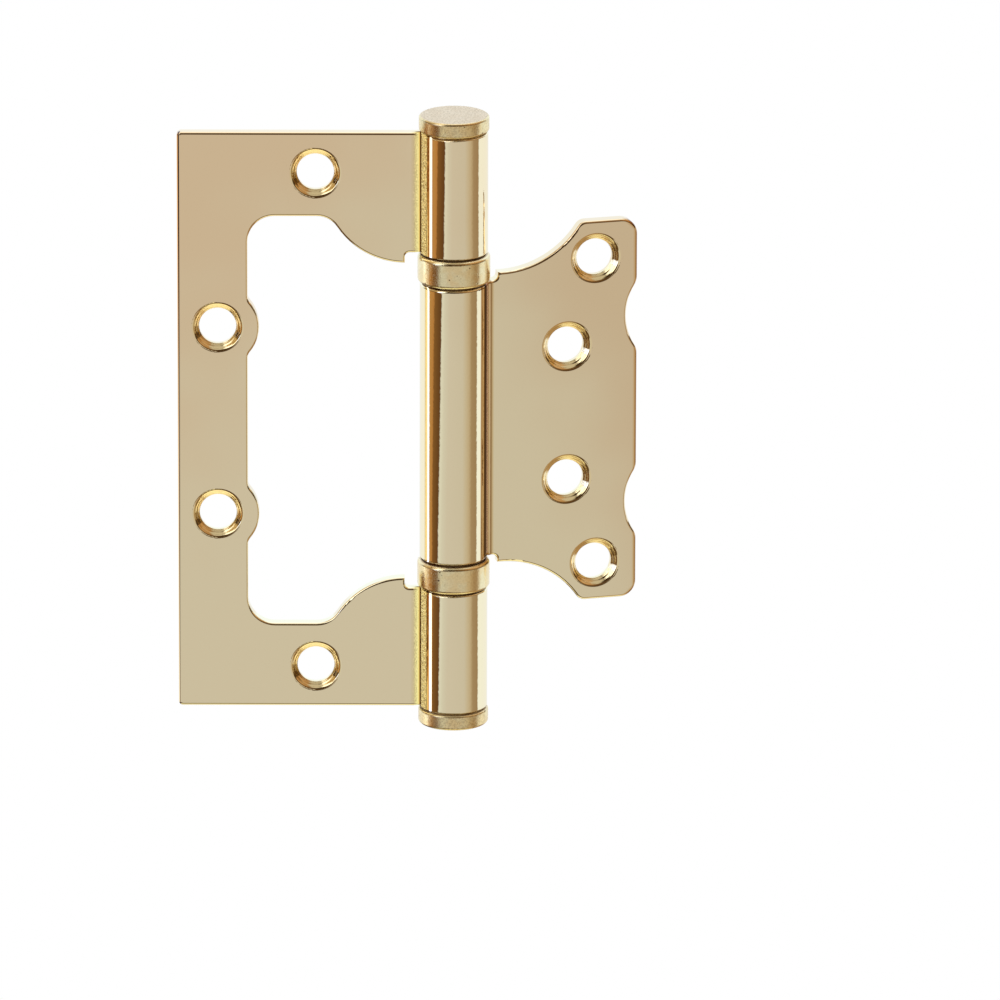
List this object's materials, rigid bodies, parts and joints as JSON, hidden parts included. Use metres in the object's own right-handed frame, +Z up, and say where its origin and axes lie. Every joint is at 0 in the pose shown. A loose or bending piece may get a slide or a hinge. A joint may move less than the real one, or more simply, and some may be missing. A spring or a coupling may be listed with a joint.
{
  "type": "surface mount hinge",
  "caption": "Flush door hinge: a windowed outer leaf and a scalloped inner leaf that nests in it, rolled knuckles on a capped pin, ball bearings between the knuckles, countersunk screw holes.",
  "frame": {"origin": "midway between the two screw holes along the outer leaf's outer edge, on that leaf's back face", "axes": "+Z up along the pin, +Y out of the outer leaf's back face towards the door frame, +X from the outer edge towards the pin"},
  "size_m": [0.0765, 0.0148, 0.1058],
  "materials": {
    "polished_brass_plate": "bright brass plate, polished",
    "satin_brass_plate": "satin brass plate",
    "steel": "drawn, bare",
    "bearing_steel": "ground and hardened",
    "cage_brass": "stamped sheet"
  },
  "bodies": {
    "frame_side": {"outer_leaf": "polished_brass_plate", "hinge_pin": "steel", "top_cap": "satin_brass_plate", "bottom_cap": "satin_brass_plate", "upper_bearing_top_race": "steel", "lower_bearing_bottom_race": "steel", "lower_bearing_shell": "satin_brass_plate"},
    "door_side": {"inner_leaf": "polished_brass_plate", "upper_bearing_bottom_race": "steel", "upper_bearing_shell": "satin_brass_plate", "lower_bearing_top_race": "steel"},
    "upper_ball_set": {"upper_bearing_ball_cage": "cage_brass", "upper_ball_1": "bearing_steel", "upper_ball_2": "bearing_steel", "upper_ball_3": "bearing_steel", "upper_ball_4": "bearing_steel", "upper_ball_5": "bearing_steel", "upper_ball_6": "bearing_steel", "upper_ball_7": "bearing_steel", "upper_ball_8": "bearing_steel", "upper_ball_9": "bearing_steel"},
    "lower_ball_set": {"lower_bearing_ball_cage": "cage_brass", "lower_ball_1": "bearing_steel", "lower_ball_2": "bearing_steel", "lower_ball_3": "bearing_steel", "lower_ball_4": "bearing_steel", "lower_ball_5": "bearing_steel", "lower_ball_6": "bearing_steel", "lower_ball_7": "bearing_steel", "lower_ball_8": "bearing_steel", "lower_ball_9": "bearing_steel"}
  },
  "joints": [
    {"name": "leaf_swing", "type": "hinge", "parent": "frame_side", "child": "door_side", "pos_m": [0.0393, -0.001, 0], "axis": [0, 0, 1], "continuous": true},
    {"name": "upper_balls_orbit", "type": "hinge", "parent": "frame_side", "child": "upper_ball_set", "pos_m": [0.0393, -0.001, 0.0266], "axis": [0, 0, 1], "continuous": true},
    {"name": "lower_balls_orbit", "type": "hinge", "parent": "frame_side", "child": "lower_ball_set", "pos_m": [0.0393, -0.001, -0.0266], "axis": [0, 0, 1], "continuous": true}
  ],
  "couplings": [
    {"joint": "upper_balls_orbit", "follows": "leaf_swing", "ratio": 0.5},
    {"joint": "lower_balls_orbit", "follows": "leaf_swing", "ratio": 0.5}
  ]
}
